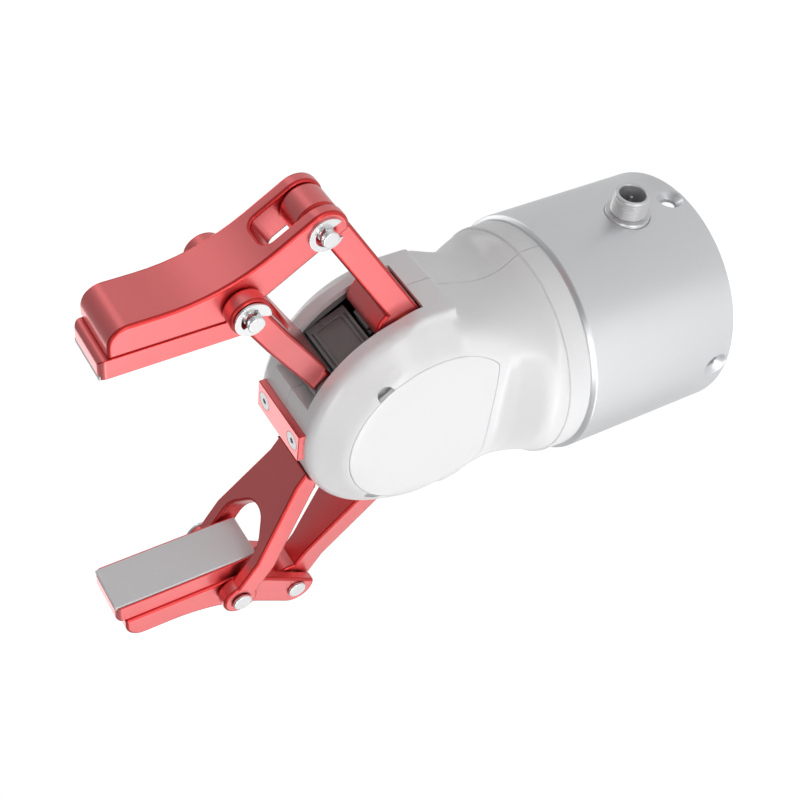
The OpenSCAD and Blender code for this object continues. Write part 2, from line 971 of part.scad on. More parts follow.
module clip_screws() {
    color(steel)
        for (y = [-clip_screw_y, clip_screw_y])
            translate([0, y, clip_z])
                difference() {
                    union() {
                        translate([0, 0, -clip_screw_len])
                            cylinder(d = clip_screw_d, h = clip_screw_len + clip_t - clip_head_h);
                        translate([0, 0, clip_t - clip_head_h])
                            cylinder(d1 = clip_screw_d, d2 = clip_head_d, h = clip_head_h);
                    }
                    translate([0, 0, clip_t - clip_head_h])
                        cylinder(d = clip_head_d / 3, h = clip_head_h + over, $fn = 6);
                }
}

// A side frame: the dark plate that carries the axles, with a foot down the neck
module frame_outline() {
    difference() {
        translate(head_c)
            circle(r = frame_r);
        translate([-frame_r - over, 0])
            square([2 * (frame_r + over), frame_foot_z]);
        for (p = tie_spots)
            translate([p[0], head_z + p[1]])
                circle(d = tie_screw_d);
        for (p = frame_screw_spots())
            translate(p)
                circle(d = frame_screw_d);
    }
}

// Places of the screws that hold the blocks between the frames
function frame_screw_spots() =
    let (
        x = block_w / 2 - frame_head_d / 2 - block_edge,
        z = rear_block_z + rear_block_t / 2,
        u = front_block_w / 2 - frame_head_d / 2 + block_edge / 4,
        w = front_block_z + frame_head_d / 2 - block_edge / 4
    )
    [[x, z], [-x, z], [u, w], [-u, w]];

module side_frame_near() {
    color(dark)
        difference() {
            across(-frame_out, -frame_in)
                frame_outline();
            for (x = [-1, 1]) {
                bar([x * rear_pivot[0], rear_pivot[1]],
                    rear_axle_d / 2 + run_gap, -frame_out - over, over);
                bar([x * front_pivot[0], front_pivot[1]],
                    front_axle_d / 2 + run_gap, -frame_out - over, over);
            }
            for (i = [1, 2])
                side(i)
                    across(-frame_in - tab_len - seat_gap, frame_in + tab_len + seat_gap)
                        guard_tab(seat_gap);
            translate([0, -clip_screw_y, clip_z - clip_screw_len - side_gap])
                cylinder(d = clip_screw_d + 2 * side_gap, h = head_r);
            for (p = frame_screw_spots())
                bar(p, frame_head_d / 2, -frame_out - over, -frame_out + frame_head_h);
        }
}

module side_frame_far() {
    mirror([0, 1, 0])
        side_frame_near();
}

// A block between the frames that holds one end bearing of the lead screw
module screw_block(w, z, t, spots) {
    difference() {
        translate([-w / 2, -frame_in, z])
            cube([w, 2 * frame_in, t]);
        translate([0, 0, z - over])
            cylinder(d = bearing_bore_d + 2 * bearing_shelf, h = t + 2 * over);
        translate([0, 0, z + bearing_shelf])
            cylinder(d = bearing_d, h = t);
        for (p = spots)
            bar(p, frame_screw_d / 2, -frame_in - over, frame_in + over);
    }
}

module rear_screw_block() {
    color(silver)
        screw_block(block_w, rear_block_z, rear_block_t,
            [frame_screw_spots()[0], frame_screw_spots()[1]]);
}

module front_screw_block() {
    color(dark)
        screw_block(front_block_w, front_block_z, front_block_t,
            [frame_screw_spots()[2], frame_screw_spots()[3]]);
}

// The two ball bearings of the lead screw
module screw_bearings() {
    color(steel)
        for (z = [rear_block_z, front_block_z])
            translate([0, 0, z + bearing_shelf])
                difference() {
                    cylinder(d = bearing_d, h = bearing_t);
                    translate([0, 0, -over])
                        cylinder(d = bearing_bore_d + 2 * run_gap, h = bearing_t + 2 * over);
                }
}

// The dark guard that closes the slot between the two links of a side, with a sunk panel
// and two slits on its outer face and a tab into each frame
guard_from = front_pivot + [guard_out, -guard_down];
guard_to = rear_pivot + (sector_outer + guard_gap) * [cos(guard_foot_angle), sin(guard_foot_angle)];
guard_len = norm(guard_to - guard_from);
guard_along = unit(guard_to - guard_from);
guard_inward = [guard_along[1], -guard_along[0]];
function on_guard(t, d) = guard_from + t * guard_along + d * guard_inward;
module guard_tab(grow) {
    low = guard_len * tab_shares[0] - grow;
    high = guard_len * tab_shares[1] + grow;
    polygon([
        on_guard(low, -grow), on_guard(high, -grow),
        on_guard(high, guard_t + grow), on_guard(low, guard_t + grow)
    ]);
}

module link_guard(i) {
    panel_half = frame_in - panel_end;
    slit_half = slit_w / 2;
    color(dark)
        side(i)
            difference() {
                union() {
                    across(-frame_in, frame_in)
                        polygon([
                            on_guard(0, 0), on_guard(guard_len, 0),
                            on_guard(guard_len - guard_bevel, guard_t), on_guard(guard_bevel, guard_t)
                        ]);
                    across(-frame_in - tab_len, frame_in + tab_len)
                        guard_tab(0);
                }
                translate([guard_from[0], 0, guard_from[1]])
                    rotate([0, -atan2(guard_along[1], guard_along[0]), 0])
                        translate([0, 0, -panel_depth]) {
                            linear_extrude(panel_depth + over)
                                polygon(rounded([
                                    [panel_end, -panel_half, panel_round],
                                    [guard_len - panel_end, -panel_half, panel_round],
                                    [guard_len - panel_end, panel_half, panel_round],
                                    [panel_end, panel_half, panel_round]
                                ]));
                            for (t = [panel_end / 2, guard_len - panel_end / 2])
                                translate([t - slit_half, -panel_half, 0])
                                    cube([slit_w, 2 * panel_half, panel_depth + over]);
                        }
            }
}

module link_guard_1() {
    link_guard(1);
}

module link_guard_2() {
    link_guard(2);
}

module frame_screws() {
    color(steel)
        for (m = [0, 1])
            mirror([0, m, 0])
                for (p = frame_screw_spots())
                    translate([p[0], -frame_out + frame_head_h, p[1]])
                        rotate([-90, 0, 0])
                            cap_screw(frame_screw_d, frame_screw_len, frame_head_d, frame_head_h);
}

module rear_axles() {
    color(steel)
        for (x = [-1, 1])
            bar([x * rear_pivot[0], rear_pivot[1]], rear_axle_d / 2, -frame_out, frame_out);
}

module front_axles() {
    color(steel)
        for (x = [-1, 1])
            bar([x * front_pivot[0], front_pivot[1]], front_axle_d / 2, -frame_out, frame_out);
}

// The lead screw: plain journals, a collar on each bearing and the threaded length
screw_from = rear_block_z + bearing_shelf + bearing_t;
screw_to = front_block_z + bearing_shelf;
module lead_screw() {
    journal_from = coupling_z + coupling_len / 2 + seat_gap;
    journal_end = screw_to + bearing_t;
    groove = 0.6;
    lead = 3;
    color(steel)
        difference() {
            union() {
                translate([0, 0, journal_from])
                    cylinder(d = bearing_bore_d, h = journal_end - journal_from);
                translate([0, 0, screw_from + seat_gap])
                    cylinder(d = screw_d, h = screw_to - screw_from - 2 * bearing_shelf - 2 * seat_gap);
            }
            for (z = [screw_from + lead:lead:screw_to - 2 * bearing_shelf - lead])
                translate([0, 0, z])
                    difference() {
                        cylinder(d = screw_d + over, h = lead / 3);
                        translate([0, 0, -over])
                            cylinder(d = screw_d - groove, h = lead + over);
                    }
        }
}

// The coupling and the gearbox shaft that it is clamped on
module shaft_coupling() {
    slit_z = coupling_z + (coupling_len - over) / 2;
    color(silver)
        difference() {
            union() {
                translate([0, 0, coupling_z])
                    cylinder(d = coupling_d, h = coupling_len);
                translate([0, 0, gearbox_top - shaft_d / 2])
                    cylinder(d = shaft_d, h = shaft_d);
            }
            translate([0, 0, coupling_z + coupling_len / 2])
                cylinder(d = bearing_bore_d + 2 * run_gap, h = coupling_len);
            for (a = [0, 180])
                rotate([0, 0, a])
                    translate([bearing_bore_d / 2 + over, -over / 2, slit_z])
                        cube([coupling_d, over, over]);
        }
}

// The rack: a hub round the nut, two arms and a toothed bar on each side
rack_low = rear_pivot[1] - rack_below;
rack_high = rear_pivot[1] + travel + rack_above;
module drive_rack() {
    root = rack_x - root_share * tooth_m;
    tip = rack_x + tooth_m - run_gap;
    slope = tan(20) * tooth_m;
    quarter = tooth_pitch / 4 - backlash / 4;
    first = floor((rack_low - rear_pivot[1]) / tooth_pitch);
    last = ceil((rack_high - rear_pivot[1]) / tooth_pitch);
    color(silver)
        difference() {
            union() {
                for (i = [1, 2])
                    side(i)
                        across(-rack_half, rack_half)
                            intersection() {
                                union() {
                                    translate([root - rack_back, rack_low])
                                        square([rack_back, rack_high - rack_low]);
                                    for (n = [first:last])
                                        translate([rack_x, rear_pivot[1] + (n + 0.5) * tooth_pitch])
                                            polygon([
                                                [root - rack_x - over, quarter + root_share * slope],
                                                [root - rack_x, quarter + root_share * slope],
                                                [tip - rack_x, quarter - slope],
                                                [tip - rack_x, slope - quarter],
                                                [root - rack_x, -quarter - root_share * slope],
                                                [root - rack_x - over, -quarter - root_share * slope]
                                            ]);
                                }
                                translate([0, rack_low])
                                    square([rack_x + tooth_pitch, rack_high - rack_low]);
                            }
                across(-rack_half, rack_half)
                    translate([over - root, rack_low])
                        square([2 * (root - over), arm_h]);
                translate([0, 0, hub_low])
                    cylinder(r = hub_r, h = hub_len);
            }
            translate([0, 0, hub_low - over])
                cylinder(d = nut_d, h = hub_len + 2 * over);
        }
}

// The bronze nut with its flange on top of the hub
module drive_nut() {
    color(bronze)
        difference() {
            union() {
                translate([0, 0, hub_low])
                    cylinder(d = nut_d, h = hub_len);
                translate([0, 0, hub_low + hub_len])
                    cylinder(d = nut_flange_d, h = nut_flange_t);
            }
            translate([0, 0, hub_low - over])
                cylinder(d = screw_d + 2 * run_gap, h = hub_len + nut_flange_t + 2 * over);
        }
}

// Outline of a rear link seen along its face, from the hub to the eye
module rear_plan() {
    polygon([
        [0, -rear_half], [taper_from, -rear_half], [taper_to, -rear_eye_half],
        [link_len, -rear_eye_half], [link_len, rear_eye_half], [taper_to, rear_eye_half],
        [taper_from, rear_half], [0, rear_half]
    ]);
}

// A wedge of the hub between two angles, past the radius r
module wedge(r, from, to) {
    mid = (from + to) / 2;
    polygon([
        [0, 0], r * [cos(from), sin(from)],
        2 * r * [cos(mid), sin(mid)], r * [cos(to), sin(to)]
    ]);
}

// A rear link: one broad bar with its rear face level with both eyes,
// tapered towards the fork of the finger, with a pocket for the toothed sector
// and a round shoulder that closes the slot beside it
module rear_link(i) {
    bush_r = rear_axle_d / 2 + bush_wall;
    pin_bush_r = pin_d / 2 + bush_wall;
    color(red)
        side(i)
            on_link(rear_pivot)
                difference() {
                    union() {
                        translate([0, 0, -rear_eye_r])
                            linear_extrude(rear_eye_r + rear_face)
                                rear_plan();
                        bar([0, 0], rear_eye_r, -rear_half, rear_half);
                        bar([link_len, 0], rear_eye_r, -rear_eye_half, rear_eye_half);
                        across(-rear_half, rear_half)
                            rotate(-open_angle)
                                intersection() {
                                    circle(r = sector_outer - run_gap);
                                    wedge(2 * sector_outer, hub_cover_from, sector_from);
                                }
                    }
                    across(-sector_half, sector_half)
                        rotate(-open_angle)
                            wedge(sector_pocket_r, sector_from, sector_to);
                    bar([0, 0], bush_r, -rear_half - over, rear_half + over);
                    bar([link_len, 0], pin_bush_r, -rear_half, rear_half);
                }
}

module rear_link_1() {
    rear_link(1);
}

module rear_link_2() {
    rear_link(2);
}

// Flank points of one tooth: an involute from the base circle, as [x, z] round the axle
function involute(t, base) =
    base * [cos(t) + t * PI / 180 * sin(t), sin(t) - t * PI / 180 * cos(t)];
function spun(p, a) = [p[0] * cos(a) - p[1] * sin(a), p[0] * sin(a) + p[1] * cos(a)];
function roll_to(r, base) = sqrt(pow(r / base, 2) - 1) * 180 / PI;

// A toothed sector in the pocket of the rear link, in mesh with the rack
module sector_gear(i) {
    base = sector_r * cos(20);
    outer = sector_outer;
    root = sector_r - root_share * tooth_m;
    flank_steps = 5;
    step = 360 / sector_teeth;
    pitch_point = involute(roll_to(sector_r, base), base);
    flank_at = atan2(pitch_point[1], pitch_point[0]);
    half_tooth = step / 4 - backlash / 4 / sector_r * 180 / PI;
    flank = [
        for (k = [0:flank_steps])
            spun(involute(roll_to(outer, base) * k / flank_steps, base), -flank_at - half_tooth)
    ];
    other = [for (k = [0:flank_steps]) [flank[flank_steps - k][0], -flank[flank_steps - k][1]]];
    foot = root - over;
    tooth = concat([[foot, flank[0][1]]], flank, other, [[foot, -flank[0][1]]]);
    first_tooth = -4;
    last_tooth = 1;
    color(steel)
        side(i)
            difference() {
                translate([rear_pivot[0], sector_half, rear_pivot[1]])
                    rotate([90, 0, 0])
                        linear_extrude(2 * sector_half) {
                            intersection() {
                                circle(r = root);
                                wedge(sector_pocket_r, sector_from, sector_to);
                            }
                            for (k = [first_tooth:last_tooth])
                                rotate(180 + k * step)
                                    polygon(tooth);
                        }
                bar(rear_pivot, rear_axle_d / 2 + run_gap, -sector_half - over, sector_half + over);
            }
}

module sector_gear_1() {
    sector_gear(1);
}

module sector_gear_2() {
    sector_gear(2);
}

// Bushes of a rear link: two on the axle, one in the eye of the finger pin
module bush(p, d, y0, y1, flange_y) {
    difference() {
        union() {
            bar(p, d / 2 + bush_wall, y0, y1);
            if (flange_y > 0)
                bar(p, d / 2 + bush_flange_wall, y1, y1 + bush_flange);
            if (flange_y < 0)
                bar(p, d / 2 + bush_flange_wall, y0 - bush_flange, y0);
        }
        bar(p, d / 2 + run_gap, y0 - 2 * bush_flange, y1 + 2 * bush_flange);
    }
}

module rear_bushes(i) {
    color(bronze)
        side(i) {
            bush(rear_pivot, rear_axle_d, sector_half, rear_half, 1);
            bush(rear_pivot, rear_axle_d, -rear_half, -sector_half, -1);
            bush(rear_pin, pin_d, -rear_eye_half, rear_eye_half, 0);
        }
}

module rear_bushes_1() {
    rear_bushes(1);
}

module rear_bushes_2() {
    rear_bushes(2);
}

// Outline of a front link seen along its face: a stem that splays into two legs
module front_plan() {
    difference() {
        polygon([
            [0, -front_half], [splay_from, -front_half], [splay_to, -leg_out], [link_len, -leg_out],
            [link_len, leg_out], [splay_to, leg_out], [splay_from, front_half], [0, front_half]
        ]);
        polygon(rounded([
            [window_from, 0, window_nose], [window_full, -leg_in, leg_in],
            [link_len + 2 * front_eye_r, -leg_in, 0], [link_len + 2 * front_eye_r, leg_in, 0],
            [window_full, leg_in, leg_in]
        ]));
    }
}

// A front link: the A-shaped bar whose legs hold the finger between them
module front_link(i) {
    color(red)
        side(i)
            on_link(front_pivot)
                difference() {
                    union() {
                        translate([0, 0, -front_t / 2])
                            linear_extrude(front_t)
                                front_plan();
                        for (m = [0, 1])
                            mirror([0, m, 0])
                                bar([link_len, 0], front_eye_r, boss_in, leg_out);
                    }
                    bar([0, 0], drum_r + run_gap, -front_half - over, front_half + over);
                    bar([link_len, 0], pin_d / 2 + free_gap, -leg_out - over, leg_out + over);
                    across(-leg_out, leg_out)
                        translate([0, -front_t / 2 - over])
                            square([drum_lip + run_gap, over + drum_lip_t + run_gap]);
                }
}

module front_link_1() {
    front_link(1);
}

module front_link_2() {
    front_link(2);
}

// The drum at the body end of a front link, which turns on the front axle,
// with a lip along the underside of the link
module link_drum(i) {
    color(dark)
        side(i)
            difference() {
                union() {
                    bar(front_pivot, drum_r, -drum_half, drum_half);
                    on_link(front_pivot)
                        across(-front_half, front_half)
                            translate([0, -front_t / 2])
                                square([drum_lip, drum_lip_t]);
                }
                bar(front_pivot, front_axle_d / 2 + run_gap, -drum_half - over, drum_half + over);
            }
}

module link_drum_1() {
    link_drum(1);
}

module link_drum_2() {
    link_drum(2);
}

// Side outline of the finger base, at rest: nose, straight back, bend and arm
arm_out = [cos(pivot_lean), sin(pivot_lean)];
arm_fore = [-sin(pivot_lean), cos(pivot_lean)];
base_x = front_pin[0] - pad_drop + carrier_t;
back_x = front_pin[0] + base_top;
tip_z = front_pin[1] + tip_reach;
nose_z = tip_z - lip;
heel_z = front_pin[1] - heel_tail;
function on_line(p, x) = [x, p[1] + (p[0] - x) * arm_out[0] / arm_out[1]];
function line_at(p, z) = [p[0] + (p[1] - z) * arm_out[1] / arm_out[0], z];
module finger_outline() {
    upper = rear_pin + arm_up * arm_out;
    lower = rear_pin - arm_down * arm_out;
    bend_at = on_line(upper, back_x);
    heel = line_at(lower, heel_z);
    sweep = acos(-arm_down / ear_r);
    ear = [
        for (i = [0:ear_steps])
            let (
                a = sweep * i / ear_steps,
                q = rear_pin + ear_r * (cos(a) * arm_out - sin(a) * arm_fore)
            )
            [q[0], q[1], 0]
    ];
    polygon(rounded([
        [base_x, nose_z, 0], [back_x, nose_z, nose_r], [bend_at[0], bend_at[1], arm_bend_r],
        each ear, [heel[0], heel[1], heel_round], [base_x, heel_z, heel_round]
    ]));
}

// The finger base: the carrier seat, the bent arm and the fork for the rear link
module finger_base(i) {
    color(red)
        side(i)
            difference() {
                across(-finger_w / 2, finger_w / 2)
                    finger_outline();
                translate([rear_pin[0], 0, rear_pin[1]])
                    rotate([0, -pivot_lean, 0])
                        fork_slot();
                bar(rear_pin, pin_d / 2, -finger_w, finger_w);
                bar(front_pin, pin_d / 2, -finger_w, finger_w);
            }
}

// The slot of the fork, through the arm from back to front, round at its end
module fork_slot() {
    translate([-2 * ear_r, 0, 0])
        rotate([0, 90, 0])
            linear_extrude(4 * ear_r)
                polygon(rounded([
                    [2 * ear_r, -fork_w / 2, 0], [2 * ear_r, fork_w / 2, 0],
                    [-fork_depth, fork_w / 2, fork_corner], [-fork_depth, -fork_w / 2, fork_corner]
                ]));
}

module finger_base_1() {
    finger_base(1);
}

module finger_base_2() {
    finger_base(2);
}

// The pad carrier on the front of the base, level with its near side,
// rounded at the tip and recessed for the pad
carrier_near = -finger_w / 2;
carrier_far = finger_w / 2 - carrier_step;
carrier_x = base_x - carrier_t + pad_proud;
carrier_low = front_pin[1] - carrier_tail;
module pad_carrier(i) {
    color(red)
        side(i)
            difference() {
                intersection() {
                    across(carrier_near, carrier_far)
                        polygon(rounded([
                            [carrier_x, carrier_low, 0], [carrier_x, tip_z, tip_round / 2],
                            [base_x, tip_z, tip_round], [base_x, carrier_low, 0]
                        ]));
                    translate([carrier_x - over, 0, 0])
                        rotate([90, 0, 90])
                            linear_extrude(carrier_t + 2 * over)
                                polygon(rounded([
                                    [carrier_near, carrier_low, 0], [carrier_near, tip_z, tip_round],
                                    [carrier_far, tip_z, tip_round], [carrier_far, carrier_low, 0]
                                ]));
                }
                translate([carrier_x - over, carrier_near + pad_rim, carrier_low - over])
                    cube([
                        over + pad_t - pad_proud, carrier_far - carrier_near - 2 * pad_rim,
                        tip_z - carrier_low + 2 * over
                    ]);
            }
}

module pad_carrier_1() {
    pad_carrier(1);
}

module pad_carrier_2() {
    pad_carrier(2);
}

// The grey grip pad in the recess of the carrier
module grip_pad(i) {
    color([0.75, 0.75, 0.76])
        side(i)
            translate([carrier_x - pad_proud, carrier_near + pad_rim, carrier_low])
                cube([pad_t, carrier_far - carrier_near - 2 * pad_rim, tip_z - carrier_low - run_gap]);
}

module grip_pad_1() {
    grip_pad(1);
}

module grip_pad_2() {
    grip_pad(2);
}

// A headed pin along Y at the place p that reaches out to both sides by half,
// with a groove for its clip on the near end
module headed_pin(p, half) {
    tip = half + clip_plate + tip_len;
    difference() {
        union() {
            bar(p, pin_d / 2, -tip, half);
            bar(p, head_d / 2, half, half + head_h);
        }
        difference() {
            bar(p, pin_d, -half - clip_plate, -half);
            bar(p, groove_d / 2, -half - 2 * clip_plate, -half + over);
        }
    }
}

module finger_pins(i) {
    color(steel)
        side(i) {
            headed_pin(rear_pin, finger_w / 2);
            headed_pin(front_pin, leg_out + side_gap);
        }
}

module finger_pins_1() {
    finger_pins(1);
}

module finger_pins_2() {
    finger_pins(2);
}

// An E-shaped clip in the groove of a pin, open towards +X
module e_clip(p, half) {
    ring = 1.5;
    mouth = groove_d * 0.8;
    across(-half - clip_plate, -half)
        translate(p)
            rotate(-pivot_lean)
                difference() {
                    circle(d = clip_out_d);
                    circle(d = groove_d);
                    difference() {
                        circle(d = clip_out_d - 2 * ring);
                        translate([-clip_out_d, -mouth / 4])
                            square([clip_out_d, mouth / 2]);
                        for (a = [60, -60])
                            rotate(a)
                                translate([0, -mouth / 4])
                                    square([clip_out_d, mouth / 2]);
                    }
                    translate([0, -mouth / 2])
                        square([clip_out_d, mouth]);
                }
}

module pin_clips(i) {
    color([0.85, 0.85, 0.86])
        side(i) {
            e_clip(rear_pin, finger_w / 2);
            e_clip(front_pin, leg_out + side_gap);
        }
}

module pin_clips_1() {
    pin_clips(1);
}

module pin_clips_2() {
    pin_clips(2);
}

rear_housing();
rear_bulkhead();
bulkhead_screws();
control_board();
board_parts();
connector_shell();
connector_insert();
connector_pins();
connector_nut();
motor();
motor_encoder();
motor_gearbox();
motor_plate();
motor_screws();
housing_bolts();
front_housing_near();
front_housing_far();
side_cover_near();
side_cover_far();
housing_screws();
front_clip();
clip_screws();
side_frame_near();
side_frame_far();
rear_screw_block();
front_screw_block();
screw_bearings();
link_guard_1();
link_guard_2();
frame_screws();
rear_axles();
front_axles();
lead_screw();
shaft_coupling();
drive_rack();
drive_nut();
rear_link_1();
sector_gear_1();
rear_bushes_1();
rear_link_2();
sector_gear_2();
rear_bushes_2();
front_link_1();
link_drum_1();
front_link_2();
link_drum_2();
finger_base_1();
pad_carrier_1();
grip_pad_1();
finger_pins_1();
pin_clips_1();
finger_base_2();
pad_carrier_2();
grip_pad_2();
finger_pins_2();
pin_clips_2();
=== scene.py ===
import json
from math import acos, asin, cos, degrees, pi, radians, sin

import bmesh
import bpy
from mathutils import Matrix, Vector

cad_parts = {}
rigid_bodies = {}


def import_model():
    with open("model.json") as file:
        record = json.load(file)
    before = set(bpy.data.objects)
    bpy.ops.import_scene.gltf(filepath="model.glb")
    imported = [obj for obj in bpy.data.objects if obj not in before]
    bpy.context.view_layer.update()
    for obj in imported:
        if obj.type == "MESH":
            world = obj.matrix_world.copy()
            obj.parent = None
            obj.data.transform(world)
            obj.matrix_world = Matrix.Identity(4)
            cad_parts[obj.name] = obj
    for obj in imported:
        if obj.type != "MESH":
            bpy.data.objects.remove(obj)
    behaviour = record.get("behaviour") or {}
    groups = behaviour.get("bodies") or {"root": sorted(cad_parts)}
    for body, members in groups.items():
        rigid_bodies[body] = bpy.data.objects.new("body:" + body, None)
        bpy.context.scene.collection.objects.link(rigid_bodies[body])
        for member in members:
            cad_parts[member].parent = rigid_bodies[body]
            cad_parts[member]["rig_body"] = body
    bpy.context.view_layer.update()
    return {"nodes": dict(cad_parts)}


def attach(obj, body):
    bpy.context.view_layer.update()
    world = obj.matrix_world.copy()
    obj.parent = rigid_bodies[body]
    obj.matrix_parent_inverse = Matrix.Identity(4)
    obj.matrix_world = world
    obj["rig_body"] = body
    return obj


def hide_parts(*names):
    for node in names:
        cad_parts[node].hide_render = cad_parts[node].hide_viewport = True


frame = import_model()
MM = 0.001


# The view of the photograph: a long lens, turned so that the housing lies to the right.
# The camera stands 0.49 m from the gripper, on the side of finger 1.
scene = bpy.context.scene
scene.view_settings.view_transform = "Standard"
eye = bpy.data.cameras.new("photo_camera")
eye.sensor_width = 36
eye.lens = 62.7255
eye.clip_start = 0.02
eye.clip_end = 20
camera = bpy.data.objects.new("photo_camera", eye)
camera.location = (0.314223, -0.245326, 0.288152)
camera.rotation_mode = "QUATERNION"
camera.rotation_quaternion = (0.738816, 0.078629, 0.534299, -0.403103)
scene.collection.objects.link(camera)
scene.camera = camera


# The studio: a white floor in a white room that is darker overhead, lit by soft lamps.
# The floor glows a little towards the camera, so that it stays white round the soft shadow.
class Wire:
    """A shader socket that takes part in sums, and adds the nodes that they need."""

    def __init__(self, tree, socket=None):
        self.tree = tree
        self.socket = socket

    def add(self, kind, settings=None, inputs=None, out=0):
        """A node of this kind, set and wired up. The result is its socket called out."""
        made = self.tree.nodes.new(kind)
        for key, value in (settings or {}).items():
            setattr(made, key, value)
        for key, value in (inputs or {}).items():
            if isinstance(value, Wire):
                self.tree.links.new(value.socket, made.inputs[key])
            else:
                made.inputs[key].default_value = value
        return Wire(self.tree, made.outputs[out] if len(made.outputs) else None)

    def maths(self, operation, a, b):
        return self.add("ShaderNodeMath", {"operation": operation}, {0: a, 1: b})

    def __add__(self, other):
        return self.maths("ADD", self, other)

    def __radd__(self, other):
        return self.maths("ADD", other, self)

    def __sub__(self, other):
        return self.maths("SUBTRACT", self, other)

    def __rsub__(self, other):
        return self.maths("SUBTRACT", other, self)

    def __mul__(self, other):
        return self.maths("MULTIPLY", self, other)

    def __rmul__(self, other):
        return self.maths("MULTIPLY", other, self)


def blank(name):
    """A material without nodes, and the first wire to build it with."""
    made = bpy.data.materials.new(name)
    made.use_nodes = True
    made.node_tree.nodes.clear()
    return made, Wire(made.node_tree)


def close(wire, shader):
    wire.add("ShaderNodeOutputMaterial", None, {"Surface": shader})


WHITE = (1, 1, 1, 1)
PAPER = (0.93, 0.93, 0.93, 1)
FLOOR_R = 6
FLOOR_GLOW = 1.3
GLOW_SEEN = 0.72          # share of the glow in what the camera sees
GLOW_IN_GLOSS = 0.28      # share of the glow in reflections
floor_material, wire = blank("studio_floor")
paper = wire.add("ShaderNodeBsdfDiffuse", None, {"Color": PAPER})
glow = wire.add("ShaderNodeEmission", None, {"Color": WHITE, "Strength": FLOOR_GLOW})
path = wire.add("ShaderNodeLightPath")
glossy = wire.add("ShaderNodeLightPath", out="Is Glossy Ray")
seen = path * GLOW_SEEN + glossy * GLOW_IN_GLOSS
close(wire, wire.add("ShaderNodeMixShader", None, {0: seen, 1: paper, 2: glow}))
bm = bmesh.new()
bmesh.ops.create_circle(bm, cap_ends=True, segments=64, radius=FLOOR_R)
floor_mesh = bpy.data.meshes.new("studio_floor")
bm.to_mesh(floor_mesh)
bm.free()
floor_mesh.materials.append(floor_material)
floor = bpy.data.objects.new("studio_floor", floor_mesh)
scene.collection.objects.link(floor)

ROOM_LOW = 0.52           # light of the room level with the floor
ROOM_HIGH = 0.14          # light of the room overhead
ROOM_SEEN = 0.9           # added where the camera sees the room
ROOM_IN_GLOSS = 0.12      # added in reflections
room = bpy.data.worlds.new("studio_room")
room.use_nodes = True
room.node_tree.nodes.clear()
wire = Wire(room.node_tree)
path = wire.add("ShaderNodeLightPath")
glossy = wire.add("ShaderNodeLightPath", out="Is Glossy Ray")
outwards = wire.add("ShaderNodeTexCoord", out="Generated")
height = wire.add("ShaderNodeSeparateXYZ", None, {"Vector": outwards}, out="Z")
around = wire.add("ShaderNodeMapRange", None,
                  {"Value": height, "To Min": ROOM_LOW, "To Max": ROOM_HIGH})
strength = around + path * ROOM_SEEN + glossy * ROOM_IN_GLOSS
room_light = wire.add("ShaderNodeBackground", None, {"Color": WHITE, "Strength": strength})
wire.add("ShaderNodeOutputWorld", None, {"Surface": room_light})
scene.world = room


def softbox(name, place, aim, width, height, power):
    """A flat lamp of width by height metres that shines from place towards aim."""
    lamp = bpy.data.lights.new(name, "AREA")
    lamp.shape = "RECTANGLE"
    lamp.size = width
    lamp.size_y = height
    lamp.energy = power
    body = bpy.data.objects.new(name, lamp)
    body.location = place
    body.rotation_mode = "QUATERNION"
    body.rotation_quaternion = (Vector(aim) - Vector(place)).to_track_quat("-Z", "Y")
    scene.collection.objects.link(body)
    return lamp


# The key is a long low box in front. Weak boxes stand beside, over the tips and behind,
# and one lights the floor in front of the gripper, which throws its light up.
CENTRE = (0, 0, 0.11)
FLOOR_IN_FRONT = (0, -0.4, 0)
softbox("key_light", (-0.1, -1.1, 0.12), CENTRE, width=2.2, height=0.2, power=6.3)
softbox("rim_light", (1.0, 0.75, 0.35), CENTRE, width=0.5, height=0.5, power=0.3)
softbox("tip_light", (-0.8, 0.6, 0.55), CENTRE, width=0.5, height=0.5, power=0.9)
softbox("back_light", (-0.1, 1.3, 0.25), CENTRE, width=2.0, height=0.3, power=3.5)
bounce = softbox("bounce_light", (0.0, -0.6, 0.7), FLOOR_IN_FRONT, width=1.4, height=0.3, power=2.2)
bounce.spread = radians(70)


# The rear housing: a tube of clear anodised aluminium, turned on a lathe and left satin.
# Its edges are broken, and fine turning marks run round it.
FLAT = 0.6                # degrees within which the facets of a solid count as one face
FOLD = 30                 # degrees from which an edge of a solid is rounded
SHADE_FOLD = 40           # degrees from which an edge is shaded sharp


def dress(node, material, edge, weld=0.02):
    """A copy of a CAD node with its outer edges rounded by edge mm, which stands for the node.

    Points closer than weld mm are made one first. The rounded faces are marked "rounding".
    """
    bm = bmesh.new()
    bm.from_mesh(frame["nodes"][node].data)
    bmesh.ops.remove_doubles(bm, verts=bm.verts, dist=weld * MM)
    bmesh.ops.dissolve_limit(bm, angle_limit=radians(FLAT), verts=bm.verts, edges=bm.edges)
    rounding = bm.faces.layers.float.new("rounding")
    sharp = [e for e in bm.edges if e.is_convex and e.calc_face_angle(0) > radians(FOLD)]
    rounded = bmesh.ops.bevel(bm, geom=sharp, offset=edge * MM, offset_type="OFFSET", segments=3,
                              profile=0.5, affect="EDGES", clamp_overlap=False, material=-1)
    for face in rounded["faces"]:
        face[rounding] = 1
    return finish_piece(bm, node, material)


